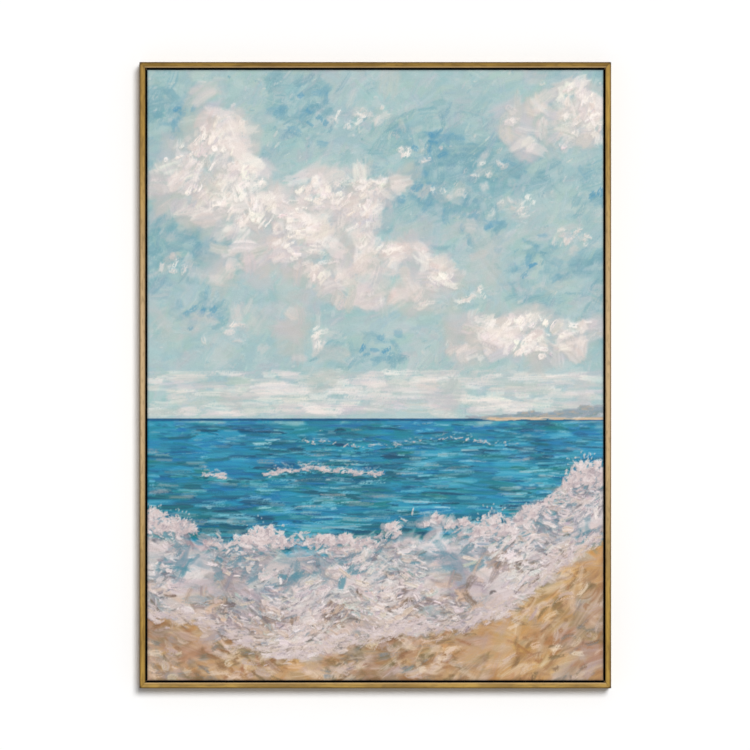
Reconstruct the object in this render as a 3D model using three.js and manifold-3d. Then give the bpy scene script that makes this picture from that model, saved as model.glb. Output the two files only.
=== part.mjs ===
// A framed oil painting: a seascape in thick paint on stretched canvas, held in a slim gilt floater frame.
// The picture faces -Y with X to its right and Z up. The wall that it hangs on is at y = 0, and the
// origin is in the middle of the frame's top length, on its back. Lengths are in millimetres.
import * as THREE from "three";
import { mergeVertices } from "three/addons/utils/BufferGeometryUtils.js";
import Module from "manifold-3d";

const wasm = await Module();
wasm.setup();

// The stretched canvas, measured over its cloth
const canvasWidth = 750;
const canvasHeight = 1004;
const clothThickness = 0.6;
const turnInWidth = 30; // cloth turned in on the backs of the bars

// The stretcher bars inside the cloth
const barWidth = 38;
const barThickness = 20;
const barBeadWidth = 6; // the raised outer edge that the cloth bends over
const barBevelDrop = 2.5; // how far the bar falls away from the cloth at its inner edge
const barArris = 1;

// The floater frame, an L in section: a wall whose front edge is the gilt face, and a ledge behind
const faceWidth = 9.5;
const floatGap = 3; // the dark line between the canvas and the face
const setBack = 4.5; // how far the cloth lies behind the face
const ledgeReach = 20;
const ledgeThickness = 9;
const outerArris = 1.2;
const innerArris = 0.8;
const backArris = 0.6;
const arcSteps = 4;

// The film of paint, and how far each kind of brushwork stands off it
const paintMargin = 0.5; // bare cloth round the film
const thinPaint = 0.5;
const cloudRelief = 0.7;
const landRelief = 0.5;
const seaRelief = 0.6;
const breakerRelief = 1.1;
const surfRelief = 2.2;
const surfLeftAtEdge = 0.35; // how much of its relief the surf still has at its edges
const sandRelief = 0.7;

// The ridges left by each kind of brushwork: how long one runs, the length over which they repeat, and
// how far they climb for each step to the right
const cloudStrokes = { run: 90, repeat: 55, climb: 0 };
const seaStrokes = { run: 210, repeat: 44, climb: 0 };
const surfStrokes = { run: 120, repeat: 48, climb: 0.3 };
const sandStrokes = { run: 150, repeat: 60, climb: -0.4 };
const ridgeWander = 2; // how far a ridge winds along its run, in radians of its repeat
const ridgeShare = 0.6; // how much of the relief is in ridges, where the rest is in their breaks

// The faces of the film's front
const reliefStepAcross = 15;
const reliefStepUpInSky = 25;
const reliefStepUpBelow = 13;

// The layout of the picture, as shares of its width from the left and of its height from the bottom
const horizon = 0.43;
const crest = { low: 0.235, lowAt: 0.3, curl: 0.18, sway: 0.012 }; // where the surf meets the sea
const shore = { low: 0.055, lowAt: 0.36, curl: 0.42, sway: 0.014 }; // where it meets the sand
const swayRate = 15; // radians of an edge's sway from the left side to the right
const outerBreaker = { up: 0.335, across: 0.3, wide: 0.26, tall: 0.009 };
const headland = { across: 1, up: 0.43, wide: 0.26, tall: 0.022 };
const clouds = [
  { across: 0.27, up: 0.77, wide: 0.25, tall: 0.12 },
  { across: 0.52, up: 0.66, wide: 0.15, tall: 0.06 },
  { across: 0.9, up: 0.9, wide: 0.13, tall: 0.05 },
  { across: 0.84, up: 0.56, wide: 0.2, tall: 0.045 },
];

// Room between pieces that touch
const clearance = 0.3;
const mitreGap = 0.3;

// Depths behind the frame's face, front to back
const clothFront = setBack;
const barFront = clothFront + clothThickness + clearance;
const barBack = barFront + barThickness;
const clothBack = barBack + clearance + clothThickness;
const ledgeFront = clothBack + clearance;
const frameDepth = ledgeFront + ledgeThickness;

// Overall sizes
const frameWidth = canvasWidth + 2 * (floatGap + faceWidth);
const frameHeight = canvasHeight + 2 * (floatGap + faceWidth);
const backWidth = faceWidth + ledgeReach;
const barInset = faceWidth + floatGap + clothThickness + clearance;
const hangHeight = frameHeight / 2 - backWidth / 2;

const gilt = new THREE.MeshStandardMaterial({ color: 0xa5803f, roughness: 0.42, metalness: 0.7 });
const pine = new THREE.MeshStandardMaterial({ color: 0xc9a878, roughness: 0.7, metalness: 0 });
const cloth = new THREE.MeshStandardMaterial({ color: 0xd8d0bf, roughness: 0.9, metalness: 0 });
const oil = new THREE.MeshStandardMaterial({ color: 0x8fbcc2, roughness: 0.45, metalness: 0 });

function solidOf(geometry) {
  const bare = geometry.clone();
  bare.deleteAttribute("normal");
  bare.deleteAttribute("uv");
  const merged = mergeVertices(bare, 1e-4);
  return new wasm.Manifold(
    new wasm.Mesh({
      numProp: 3,
      vertProperties: merged.attributes.position.array,
      triVerts: new Uint32Array(merged.index.array),
    }),
  );
}

function geometryOf(solid) {
  const mesh = solid.getMesh();
  const geometry = new THREE.BufferGeometry();
  geometry.setAttribute("position", new THREE.BufferAttribute(mesh.vertProperties, mesh.numProp));
  geometry.setIndex(new THREE.BufferAttribute(mesh.triVerts, 1));
  return geometry;
}

function piece(name, geometry, material) {
  const mesh = new THREE.Mesh(geometry, material);
  mesh.name = name;
  return mesh;
}

// A length of moulding along the top of a rectangle, with mitred ends. Its outline is drawn in
// (inward, back) from the outer front corner, and its outer edge lies up at the rectangle's top.
function mitredLength(outline, outerLength, top) {
  const geometry = new THREE.ExtrudeGeometry(new THREE.Shape(outline), {
    depth: outerLength,
    bevelEnabled: false,
  });
  const corner = geometry.getAttribute("position");
  for (let i = 0; i < corner.count; i++) {
    const inward = corner.getX(i);
    const back = corner.getY(i);
    const end = corner.getZ(i) > outerLength / 2 ? 1 : -1;
    const along = end * (outerLength / 2 - inward - mitreGap * Math.SQRT1_2);
    corner.setXYZ(i, along, back, top - inward);
  }
  return geometry;
}

// The points of a quarter round between two straight edges of an outline
function roundedCorner(centreInward, centreBack, radius, firstAngle) {
  const points = [];
  for (let i = 0; i <= arcSteps; i++) {
    const angle = firstAngle + (Math.PI / 2) * (i / arcSteps);
    const inward = centreInward + radius * Math.cos(angle);
    points.push(new THREE.Vector2(inward, centreBack + radius * Math.sin(angle)));
  }
  return points;
}

function frameOutline() {
  return [
    ...roundedCorner(outerArris, outerArris, outerArris, Math.PI),
    ...roundedCorner(faceWidth - innerArris, innerArris, innerArris, 1.5 * Math.PI),
    new THREE.Vector2(faceWidth, ledgeFront),
    new THREE.Vector2(backWidth, ledgeFront),
    new THREE.Vector2(backWidth, frameDepth - backArris),
    new THREE.Vector2(backWidth - backArris, frameDepth),
    new THREE.Vector2(backArris, frameDepth),
    new THREE.Vector2(0, frameDepth - backArris),
  ];
}

function barOutline() {
  return [
    ...roundedCorner(barArris, barFront + barArris, barArris, Math.PI),
    new THREE.Vector2(barBeadWidth, barFront),
    new THREE.Vector2(barWidth, barFront + barBevelDrop),
    new THREE.Vector2(barWidth, barBack),
    new THREE.Vector2(0, barBack),
  ];
}

// One side of the picture: a length of the frame and the stretcher bar inside it. Both are drawn along
// the top and then turned about the picture's middle.
function side(name, turn, length, span) {
  const group = new THREE.Group();
  group.rotation.y = turn;
  group.add(piece(`frame_${name}`, mitredLength(frameOutline(), length, span / 2), gilt));
  const bar = mitredLength(barOutline(), length - 2 * barInset, span / 2 - barInset);
  group.add(piece(`stretcher_bar_${name}`, bar, pine));
  return group;
}

function block(width, height, front, back) {
  const geometry = new THREE.BoxGeometry(width, back - front, height);
  geometry.translate(0, (front + back) / 2, 0);
  return solidOf(geometry);
}

// The cloth goes over the front and the sides of the bars and is turned in on their backs.
function canvas() {
  const wrapped = block(canvasWidth, canvasHeight, clothFront, clothBack);
  const inside = block(
    canvasWidth - 2 * clothThickness,
    canvasHeight - 2 * clothThickness,
    clothFront + clothThickness,
    clothBack - clothThickness,
  );
  const opening = block(
    canvasWidth - 2 * turnInWidth,
    canvasHeight - 2 * turnInWidth,
    barBack,
    clothBack + clearance,
  );
  return piece("canvas", geometryOf(wrapped.subtract(inside).subtract(opening)), cloth);
}

// The height in the picture of the surf's edge at a place across it: a bay, with a swaying outline
function edgeOfSurf(edge, across) {
  return edge.low + edge.curl * (across - edge.lowAt) ** 2 + edge.sway * Math.sin(swayRate * across);
}

// How near a place in the picture is to the middle of a patch, from 1 there down to 0
function nearness(patch, across, up) {
  const away = Math.hypot((across - patch.across) / patch.wide, (up - patch.up) / patch.tall);
  return Math.exp(-away * away);
}

// Ridges left by the brush or the knife, broken up along their run. The value goes from 0 to 1.
function ridges(x, z, strokes) {
  const along = (2 * Math.PI * x) / strokes.run;
  const level = (z - strokes.climb * x) / strokes.repeat;
  const crests = Math.sin(2 * Math.PI * level + ridgeWander * Math.sin(along));
  const breaks = Math.cos(along - level);
  return (1 + ridgeShare * crests + (1 - ridgeShare) * breaks) / 2;
}

// How far the paint stands off the cloth at a place in the picture
function paintHeight(x, z) {
  const across = x / canvasWidth + 0.5;
  const up = z / canvasHeight + 0.5;
  if (up > horizon) {
    const cloud = clouds.reduce((most, patch) => Math.max(most, nearness(patch, across, up)), 0);
    const land = nearness(headland, across, up);
    return thinPaint + cloudRelief * cloud * ridges(x, z, cloudStrokes) + landRelief * land;
  }
  const crestUp = edgeOfSurf(crest, across);
  if (up > crestUp) {
    const breaker = nearness(outerBreaker, across, up);
    return thinPaint + seaRelief * ridges(x, z, seaStrokes) + breakerRelief * breaker;
  }
  const shoreUp = edgeOfSurf(shore, across);
  if (up < shoreUp) return thinPaint + sandRelief * ridges(x, z, sandStrokes);
  const share = (up - shoreUp) / (crestUp - shoreUp);
  const heap = surfLeftAtEdge + (1 - surfLeftAtEdge) * Math.sin(Math.PI * share);
  return thinPaint + surfRelief * heap * ridges(x, z, surfStrokes);
}

// The heights of the rows of points on the film's front, from the bottom up
function reliefRows(height) {
  const horizonHeight = (horizon - 0.5) * canvasHeight;
  const below = Math.round((horizonHeight + height / 2) / reliefStepUpBelow);
  const above = Math.round((height / 2 - horizonHeight) / reliefStepUpInSky);
  const rows = [];
  for (let i = 0; i < below; i++) {
    rows.push(THREE.MathUtils.lerp(-height / 2, horizonHeight, i / below));
  }
  for (let i = 0; i <= above; i++) {
    rows.push(THREE.MathUtils.lerp(horizonHeight, height / 2, i / above));
  }
  return rows;
}

// The numbers of the points round a grid's edge, counter-clockwise
function rimOf(columns, rows) {
  const rim = [];
  for (let i = 0; i < columns; i++) rim.push(i);
  for (let i = 0; i < rows; i++) rim.push(i * (columns + 1) + columns);
  for (let i = columns; i > 0; i--) rim.push(rows * (columns + 1) + i);
  for (let i = rows; i > 0; i--) rim.push(i * (columns + 1));
  return rim;
}

// The film of paint has a flat back on the cloth and a front in relief.
function paint() {
  const width = canvasWidth - 2 * paintMargin;
  const heights = reliefRows(canvasHeight - 2 * paintMargin);
  const columns = Math.round(width / reliefStepAcross);
  const rows = heights.length - 1;
  const back = clothFront - clearance;
  const points = [];
  for (const z of heights) {
    for (let column = 0; column <= columns; column++) {
      const x = (column / columns - 0.5) * width;
      points.push(x, back - paintHeight(x, z), z);
    }
  }
  const faces = [];
  for (let row = 0; row < rows; row++) {
    for (let column = 0; column < columns; column++) {
      const low = row * (columns + 1) + column;
      const high = low + columns + 1;
      faces.push(low, low + 1, high + 1, low, high + 1, high);
    }
  }
  const rim = rimOf(columns, rows);
  const firstBack = points.length / 3;
  for (const point of rim) points.push(points[3 * point], back, points[3 * point + 2]);
  const backMiddle = points.length / 3;
  points.push(0, back, 0);
  for (let i = 0; i < rim.length; i++) {
    const next = (i + 1) % rim.length;
    faces.push(rim[i], firstBack + i, firstBack + next);
    faces.push(rim[i], firstBack + next, rim[next]);
    faces.push(firstBack + next, firstBack + i, backMiddle);
  }
  const geometry = new THREE.BufferGeometry();
  geometry.setAttribute("position", new THREE.Float32BufferAttribute(points, 3));
  geometry.setIndex(faces);
  return piece("oil_paint", geometry, oil);
}

const picture = new THREE.Group();
picture.position.set(0, -frameDepth, -hangHeight);
picture.add(side("top", 0, frameWidth, frameHeight));
picture.add(side("right", Math.PI / 2, frameHeight, frameWidth));
picture.add(side("bottom", Math.PI, frameWidth, frameHeight));
picture.add(side("left", -Math.PI / 2, frameHeight, frameWidth));
picture.add(canvas());
picture.add(paint());

const group = new THREE.Group();
group.add(picture);

export default group;
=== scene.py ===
# %% [markdown]
# # A framed seascape in thick oil paint
#
# The object is a tall picture: oil paint laid with brush and knife on a stretched cotton canvas, held
# in a slim gilt floater frame with a dark gap round the canvas. The solids of the frame, the bars, the
# cloth and the paint come from the CAD model. This file gives each of them its finish, and builds the
# paint itself, stroke by stroke, as real relief.

# %% Load the frame
import math
import time
from functools import partial

import bpy
import numpy as np
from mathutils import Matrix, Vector


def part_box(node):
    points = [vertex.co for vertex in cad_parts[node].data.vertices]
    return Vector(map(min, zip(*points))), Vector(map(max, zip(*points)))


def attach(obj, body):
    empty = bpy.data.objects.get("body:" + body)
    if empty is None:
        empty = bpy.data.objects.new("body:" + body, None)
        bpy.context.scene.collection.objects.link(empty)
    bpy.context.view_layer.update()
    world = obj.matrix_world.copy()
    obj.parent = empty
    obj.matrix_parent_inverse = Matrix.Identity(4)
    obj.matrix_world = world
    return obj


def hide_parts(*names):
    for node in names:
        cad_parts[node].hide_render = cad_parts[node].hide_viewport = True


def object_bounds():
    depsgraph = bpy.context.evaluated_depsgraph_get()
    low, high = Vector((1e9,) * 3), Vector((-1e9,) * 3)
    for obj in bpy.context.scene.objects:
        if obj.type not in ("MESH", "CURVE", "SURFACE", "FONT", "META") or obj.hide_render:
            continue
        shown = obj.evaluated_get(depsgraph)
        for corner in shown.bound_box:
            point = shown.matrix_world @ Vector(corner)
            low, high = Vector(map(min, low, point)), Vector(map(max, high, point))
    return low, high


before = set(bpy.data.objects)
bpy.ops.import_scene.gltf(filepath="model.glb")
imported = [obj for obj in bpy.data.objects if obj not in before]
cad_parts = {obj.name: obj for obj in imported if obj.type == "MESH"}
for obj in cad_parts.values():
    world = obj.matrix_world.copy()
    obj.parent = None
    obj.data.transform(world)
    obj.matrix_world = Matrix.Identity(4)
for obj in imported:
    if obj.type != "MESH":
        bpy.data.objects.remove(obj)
cad_low, cad_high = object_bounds()

# %% [markdown]
# ## Measures
#
# Every place below is worked out from the boxes of the CAD pieces, so nothing is fitted by eye. The
# picture faces -Y, X runs to its right and Z up, and the wall is the plane y = 0.

# %% Read the measures off the CAD pieces
MM = 0.001
canvas_low, canvas_high = (Vector(corner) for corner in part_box("canvas"))
paint_low, paint_high = (Vector(corner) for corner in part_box("oil_paint"))
top_low, top_high = (Vector(corner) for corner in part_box("frame_top"))
frame_low, frame_high = Vector(cad_low), Vector(cad_high)
middle = (frame_low + frame_high) / 2
canvas_width = (canvas_high.x - canvas_low.x) / MM
canvas_height = (canvas_high.z - canvas_low.z) / MM
print(f"canvas {canvas_width:.0f} x {canvas_height:.0f} mm, middle at {tuple(middle)}")

# %% [markdown]
# ## Camera
#
# The picture is seen straight on, from the height of its middle. The lens is worked out from the width
# that the frame takes up in a 750 x 750 image.

# %% Make the camera
IMAGE_PIXELS = 750
FRAME_PIXELS = 471.8
FRAME_MIDDLE = (375.3, 375.2)
CAMERA_DISTANCE = 8.0
SENSOR = 36.0

pixel = (frame_high.x - frame_low.x) / FRAME_PIXELS
camera_data = bpy.data.cameras.new("camera")
camera_data.sensor_width = SENSOR
camera_data.lens = SENSOR * CAMERA_DISTANCE / (pixel * IMAGE_PIXELS)
camera = bpy.data.objects.new("camera", camera_data)
bpy.context.collection.objects.link(camera)
camera.location = (
    middle.x + (IMAGE_PIXELS / 2 - FRAME_MIDDLE[0]) * pixel,
    frame_low.y - CAMERA_DISTANCE,
    middle.z - (IMAGE_PIXELS / 2 - FRAME_MIDDLE[1]) * pixel,
)
camera.rotation_euler = (math.pi / 2, 0, 0)
bpy.context.scene.camera = camera
bpy.context.scene.view_settings.view_transform = "Standard"
print(f"lens {camera_data.lens:.1f} mm at {CAMERA_DISTANCE} m, one pixel is {pixel / MM:.3f} mm")

# %% [markdown]
# ## Shader maths
#
# Materials here are written as sums. A Wire wraps one output socket, and its operators add the Math
# node that they name, so `0.4 + noise * 0.2` reads as it would on paper. Nodes.node makes any other
# node of a tree: it takes the node's settings first, and then what goes into its sockets. The world
# and the Geometry Nodes tree are built with the same two classes.

# %% Wrap a socket
class Wire:
    """One output socket, with arithmetic."""

    def __init__(self, nodes, socket):
        self.nodes = nodes
        self.socket = socket

    def out(self, name):
        """Another output of the same node."""
        return Wire(self.nodes, self.socket.node.outputs[name])

    def maths(self, operation, *values):
        return self.nodes.node("ShaderNodeMath", {"operation": operation}, dict(enumerate(values)))

    def __add__(self, other):
        return self.maths("ADD", self, other)

    def __sub__(self, other):
        return self.maths("SUBTRACT", self, other)

    def __rsub__(self, other):
        return self.maths("SUBTRACT", other, self)

    def __mul__(self, other):
        return self.maths("MULTIPLY", self, other)

    def __gt__(self, other):
        return self.maths("GREATER_THAN", self, other)

    def __lt__(self, other):
        return self.maths("LESS_THAN", self, other)

    def __abs__(self):
        return self.maths("ABSOLUTE", self)

    __radd__ = __add__
    __rmul__ = __mul__

    def smooth(self, low, high, start=0.0, end=1.0):
        """This value taken from low..high to start..end along a smooth curve."""
        sockets = {"Value": self, "From Min": low, "From Max": high, "To Min": start, "To Max": end}
        return self.nodes.node("ShaderNodeMapRange", {"interpolation_type": "SMOOTHSTEP"}, sockets)


# %% Add nodes to a tree
class Nodes:
    """A node tree, and one short way to add a node to it."""

    def __init__(self, tree):
        self.tree = tree

    def put(self, value, socket):
        """A wire or a plain value into a socket."""
        if isinstance(value, Wire):
            self.tree.links.new(value.socket, socket)
        else:
            socket.default_value = value

    def node(self, kind, settings=None, sockets=None, output=0):
        node = self.tree.nodes.new(kind)
        for name, value in (settings or {}).items():
            setattr(node, name, value)
        for name, value in (sockets or {}).items():
            self.put(value, node.inputs[name])
        return Wire(self, node.outputs[output])


def linear(values):
    """Screen colours, 0 to 1, as the linear light that Blender works in."""
    values = np.clip(values, 0, 1)
    return np.where(values <= 0.04045, values / 12.92, ((values + 0.055) / 1.055) ** 2.4)


def as_linear(colour):
    """A colour's wire as it is, or (r, g, b) as shown on a screen, 0 to 255, made linear."""
    if isinstance(colour, Wire):
        return colour
    return (*linear(np.array(colour) / 255), 1.0)


# %% Make a material
class Shader(Nodes):
    """A material with one Principled shader, and short ways to add nodes to it."""

    def __init__(self, name, **constants):
        self.material = bpy.data.materials.new(name)
        self.material.use_nodes = True
        super().__init__(self.material.node_tree)
        self.surface = self.tree.nodes["Principled BSDF"]
        self.feed(**constants)
        self.place = self.node("ShaderNodeTexCoord", output="Object")

    def feed(self, **sockets):
        """Wires or values for the Principled shader. Its sockets' names have _ for a space."""
        for name, value in sockets.items():
            self.put(value, self.surface.inputs[name.replace("_", " ")])
        return self.material

    def along(self, axis):
        return self.node("ShaderNodeSeparateXYZ", sockets={"Vector": self.place}, output=axis)

    def noise(self, size, stretch=(1, 1, 1), detail=3.0, roughness=0.5):
        """Noise whose grains are about size metres, drawn out by stretch."""
        scale = [1 / share for share in stretch]
        place = self.node("ShaderNodeMapping", sockets={"Vector": self.place, "Scale": scale})
        sockets = {"Vector": place, "Scale": 1 / size, "Detail": detail, "Roughness": roughness}
        return self.node("ShaderNodeTexNoise", sockets=sockets)

    def mix(self, share, first, second):
        """A colour between two others."""
        settings = {"data_type": "RGBA", "clamp_factor": True}
        sockets = {0: share, 6: as_linear(first), 7: as_linear(second)}
        return self.node("ShaderNodeMix", settings, sockets, output=2)

    def bump(self, height, distance, strength=1.0):
        sockets = {"Height": height, "Distance": distance, "Strength": strength}
        return self.node("ShaderNodeBump", sockets=sockets)


def dress(piece, material):
    piece.data.materials.clear()
    piece.data.materials.append(material)


def new_piece(name, data):
    piece = bpy.data.objects.new(name, data)
    bpy.context.collection.objects.link(piece)
    return piece


# %% [markdown]
# ## Wall, floor and light
#
# The picture hangs close to a white wall, over a pale floor. A high soft light at the upper right
# throws the narrow shadow at the left and below. Wall and floor are stage pieces. They are one-sided:
# a Mix Shader makes their far sides clear, so that the back of the picture can be seen from behind.

# %% Build the stage
STAGE_HALF = 6.0
FLOOR_DROP = 0.55
WALL_GAP = 1 * MM
WALL_WHITE = (255, 255, 255)
FLOOR_WHITE = (252, 251, 249)


def stage_sheet(name, corners, colour):
    mesh = bpy.data.meshes.new(name)
    mesh.from_pydata(corners, [], [(0, 1, 2, 3)])
    sheet = new_piece(name, mesh)
    shader = Shader(name, Base_Color=as_linear(colour), Roughness=1.0, Specular_IOR_Level=0.0)
    near = Wire(shader, shader.surface.outputs[0])
    clear = shader.node("ShaderNodeBsdfTransparent")
    far_side = shader.node("ShaderNodeNewGeometry", output="Backfacing")
    both = shader.node("ShaderNodeMixShader", sockets={0: far_side, 1: near, 2: clear})
    shader.put(both, shader.tree.nodes["Material Output"].inputs["Surface"])
    dress(sheet, shader.material)
    sheet.visible_diffuse = sheet.visible_glossy = sheet.visible_shadow = False


wall_y = frame_high.y + WALL_GAP
floor_z = frame_low.z - FLOOR_DROP
left_side, right_side = -STAGE_HALF, STAGE_HALF
wall_foot = [(left_side, wall_y, floor_z), (right_side, wall_y, floor_z)]
wall_top = [(right_side, wall_y, STAGE_HALF), (left_side, wall_y, STAGE_HALF)]
floor_front = [(left_side, -STAGE_HALF, floor_z), (right_side, -STAGE_HALF, floor_z)]
stage_sheet("wall", wall_foot + wall_top, WALL_WHITE)
stage_sheet("floor", floor_front + wall_foot[::-1], FLOOR_WHITE)
print(f"wall at y = {wall_y:.3f} m, floor at z = {floor_z:.3f} m")

# %% Hang the lamps
def sun(name, towards, strength, spread):
    data = bpy.data.lights.new(name, "SUN")
    data.energy = strength
    data.angle = math.radians(spread)
    new_piece(name, data).rotation_euler = Vector(towards).to_track_quat("Z", "Y").to_euler()


sun("key_light", towards=(0.235, -1.0, 0.335), strength=2.47, spread=20)
sun("back_light", towards=(-0.5, 1.0, 0.7), strength=0.9, spread=30)

# %% [markdown]
# The air round the picture glows as well, more from behind than from the front, so that the lamps
# still model the paint. The camera itself sees plain white past the wall.

# %% Light the air
AMBIENT_IN_FRONT = 0.28
AMBIENT_BEHIND = 0.72
WHITE = (1, 1, 1, 1)

world = bpy.data.worlds.new("studio")
bpy.context.scene.world = world
world.use_nodes = True
studio = Nodes(world.node_tree)
direction = studio.node("ShaderNodeTexCoord", output="Generated")
towards_wall = studio.node("ShaderNodeSeparateXYZ", sockets={0: direction}, output="Y")
strength = towards_wall.smooth(-0.4, 0.1, AMBIENT_IN_FRONT, AMBIENT_BEHIND)
backdrop = studio.node("ShaderNodeBackground", sockets={"Color": WHITE})
seen = studio.node("ShaderNodeLightPath", output="Is Camera Ray")
ambient = studio.tree.nodes["Background"]
ambient.inputs["Color"].default_value = WHITE
studio.put(strength, ambient.inputs["Strength"])
air = Wire(studio, ambient.outputs[0])
either = studio.node("ShaderNodeMixShader", sockets={0: seen, 1: air, 2: backdrop})
studio.put(either, studio.tree.nodes["World Output"].inputs["Surface"])
print(f"lamps: 2, air: {AMBIENT_IN_FRONT} in front and {AMBIENT_BEHIND} behind")

# %% [markdown]
# ## The gilt frame
#
# The moulding is wood under a satin gold paint that was brushed on along its length, so its streaks
# run lengthwise, and it is rubbed darker at the corners. Light and shade are painted into the gold
# as well: painted shade along the outer arris, a painted reflection that makes the middle of each
# upright paler, a painted highlight along the inner edge of the level lengths and painted shade along
# that of the uprights, and a painted tone for each length, darkest on the top one and paler on the
# bottom one. The gold stops at the face's inner edge: inside, the wood is painted matt black, which is
# what makes the dark line round the canvas. The flat back was never finished. One material tells these
# zones apart by depth and by the distance from the outer edge, both read from Object coordinates.

# %% Measure a place on the frame
FACE_WIDTH = 9.5 * MM
GILT_TURNS_IN = 0.8 * MM
BARE_BACK = 0.25 * MM
frame_depth = frame_high.y - frame_low.y
ledge_width = top_high.z - top_low.z
print(f"frame {frame_depth / MM:.1f} mm deep, its lengths {ledge_width / MM:.1f} mm wide")


def drawn_out(length, runs_up):
    return (1, 1, length) if runs_up else (length, 1, 1)


def frame_places(shader, runs_up, outer_edge, side):
    """How far a place is in from its length's outer edge, back from the face, and from the length's
    middle and its end. outer_edge is the edge's x or z, and side points out there."""
    across, along = (0, 2) if runs_up else (2, 0)
    inward = (outer_edge - shader.along(across)) * side
    depth = shader.along(1) - frame_low.y
    from_middle = abs(shader.along(along) - middle[along])
    to_end = (frame_high - middle)[along] - from_middle
    return inward, depth, from_middle, to_end


# %% Mix the gold
GOLD_LIGHT = (180, 142, 52)
GOLD_DARK = (132, 98, 14)
# A pale gold that only paints light: painted reflection, sheen and highlight.
GOLD_PAINTED_SHEEN = (200, 172, 132)
# A dark gold for wear at the corners and in touches, also used to paint shade.
GOLD_WORN_AND_SHADE = (84, 60, 10)
ARRIS_SHADE_WIDTH = 3.4 * MM
WORN_CORNER = 6 * MM
INNER_EDGE_LIGHT = 3.2 * MM


def gold_colour(shader, streaks, runs_up, places, tone, share):
    """Brushed gold with cloudy patches and worn touches, rubbed darker at the corners. Painted light and
    shade go over it: it is paler towards the middle of an upright, a painted reflection, and darker
    along the outer arris, painted shade. Along the face's inner edge it has a painted highlight on the
    level lengths and painted shade on the uprights. The length's own tone, painted light and shade for
    that whole length, takes up that share of it."""
    inward, depth, from_middle, to_end = places
    clouding = shader.noise(26 * MM, drawn_out(2.5, runs_up), detail=3.0, roughness=0.6)
    touches = shader.noise(3.2 * MM, drawn_out(4, runs_up), detail=2.0)
    gold = shader.mix((streaks * 0.5 + clouding * 0.5).smooth(0.4, 0.6), GOLD_DARK, GOLD_LIGHT)
    if runs_up:
        # Painted reflection: the middle of an upright is paler.
        gold = shader.mix(from_middle.smooth(0.06, 0.42, 0.9, 0.1), gold, GOLD_PAINTED_SHEEN)
    gold = shader.mix(touches.smooth(0.5, 0.66) * (0.28 if runs_up else 0.42), gold, GOLD_WORN_AND_SHADE)
    # The length's own painted light and shade.
    gold = shader.mix(share, gold, tone)
    # Painted shade: darker along the outer arris, where it turns from the light. The corners are worn.
    arris = inward.smooth(0.2 * MM, ARRIS_SHADE_WIDTH, 0.85, 0.0) * depth.smooth(1 * MM, ARRIS_SHADE_WIDTH, 1.0, 0.0)
    corner = to_end.smooth(1 * MM, WORN_CORNER, 0.8, 0.0) * inward.smooth(1 * MM, WORN_CORNER, 1.0, 0.0)
    gold = shader.mix(arris + corner, gold, GOLD_WORN_AND_SHADE)
    # Painted highlight along the inner edge of a level length, painted shade along that of an upright.
    inner_edge_light = inward.smooth(FACE_WIDTH - INNER_EDGE_LIGHT, FACE_WIDTH - 1 * MM) * 0.4
    return shader.mix(inner_edge_light, gold, GOLD_WORN_AND_SHADE if runs_up else GOLD_PAINTED_SHEEN)


# %% Gild the four lengths
RAW_WOOD = ((198, 164, 120), (160, 122, 82))
MATT_BLACK = ((14, 11, 8), (22, 18, 14))


def gilt_material(name, outer_edge, side, tone, share):
    """The finish of one length: gold on the face, black inside it and bare wood behind."""
    runs_up = name in ("left", "right")
    shader = Shader(f"gilt_{name}", Specular_IOR_Level=0.35)
    places = frame_places(shader, runs_up, outer_edge, side)
    inward, depth = places[:2]
    streaks = shader.noise(1.2 * MM, drawn_out(50, runs_up), detail=4.0, roughness=0.6)
    gold = gold_colour(shader, streaks, runs_up, places, tone, share)
    inside = (inward > FACE_WIDTH - 0.12 * MM) * (depth > GILT_TURNS_IN)
    bare = ((depth > frame_depth - BARE_BACK) + (inward > ledge_width - 0.3 * MM)) > 0.5
    grain = shader.noise(1.6 * MM, drawn_out(30, runs_up), detail=5.0, roughness=0.65)
    colour = shader.mix(inside, gold, shader.mix(streaks, *MATT_BLACK))
    colour = shader.mix(bare, colour, shader.mix(grain.smooth(0.3, 0.75), *RAW_WOOD))
    not_gold = (inside + bare) > 0.5
    relief = shader.bump(streaks + grain * bare, 0.1 * MM, 0.4)
    return shader.feed(Base_Color=colour, Metallic=(1 - not_gold) * 0.35, Normal=relief,
                       Roughness=0.52 + streaks * 0.1 + not_gold * 0.3)


# Tone and share per length: painted shade on the top and the uprights, painted sheen on the bottom.
OUTER_EDGES = {
    "top": (frame_high.z, 1, GOLD_WORN_AND_SHADE, 0.52),
    "bottom": (frame_low.z, -1, GOLD_PAINTED_SHEEN, 0.14),
    "right": (frame_high.x, 1, GOLD_WORN_AND_SHADE, 0.1),
    "left": (frame_low.x, -1, GOLD_WORN_AND_SHADE, 0.06),
}
for place, edge in OUTER_EDGES.items():
    dress(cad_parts[f"frame_{place}"], gilt_material(place, *edge))
print("gilded:", ", ".join(OUTER_EDGES))

# %% [markdown]
# ## The stretcher bars
#
# Planed pine, bare. The grain is noise drawn out along the bar, with darker late wood, fine pores and
# a few places that are greyer from handling.

# %% Finish the bars
def pine_material(name, runs_up):
    shader = Shader(f"pine_{name}")
    grain = shader.noise(3.4 * MM, drawn_out(34, runs_up), detail=6.0, roughness=0.62)
    pores = shader.noise(0.5 * MM, drawn_out(12, runs_up), detail=2.0)
    handled = shader.noise(90 * MM, detail=2.0)
    wood = shader.mix(grain.smooth(0.36, 0.66), (222, 190, 146), (186, 142, 94))
    wood = shader.mix(handled.smooth(0.4, 0.75) * 0.4, wood, (200, 170, 132))
    wood = shader.mix(pores.smooth(0.62, 0.8) * 0.35, wood, (140, 102, 66))
    relief = shader.bump(grain + pores * 0.4, 0.2 * MM, 0.5)
    return shader.feed(Base_Color=wood, Roughness=0.55 + grain * 0.2, Normal=relief)


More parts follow.
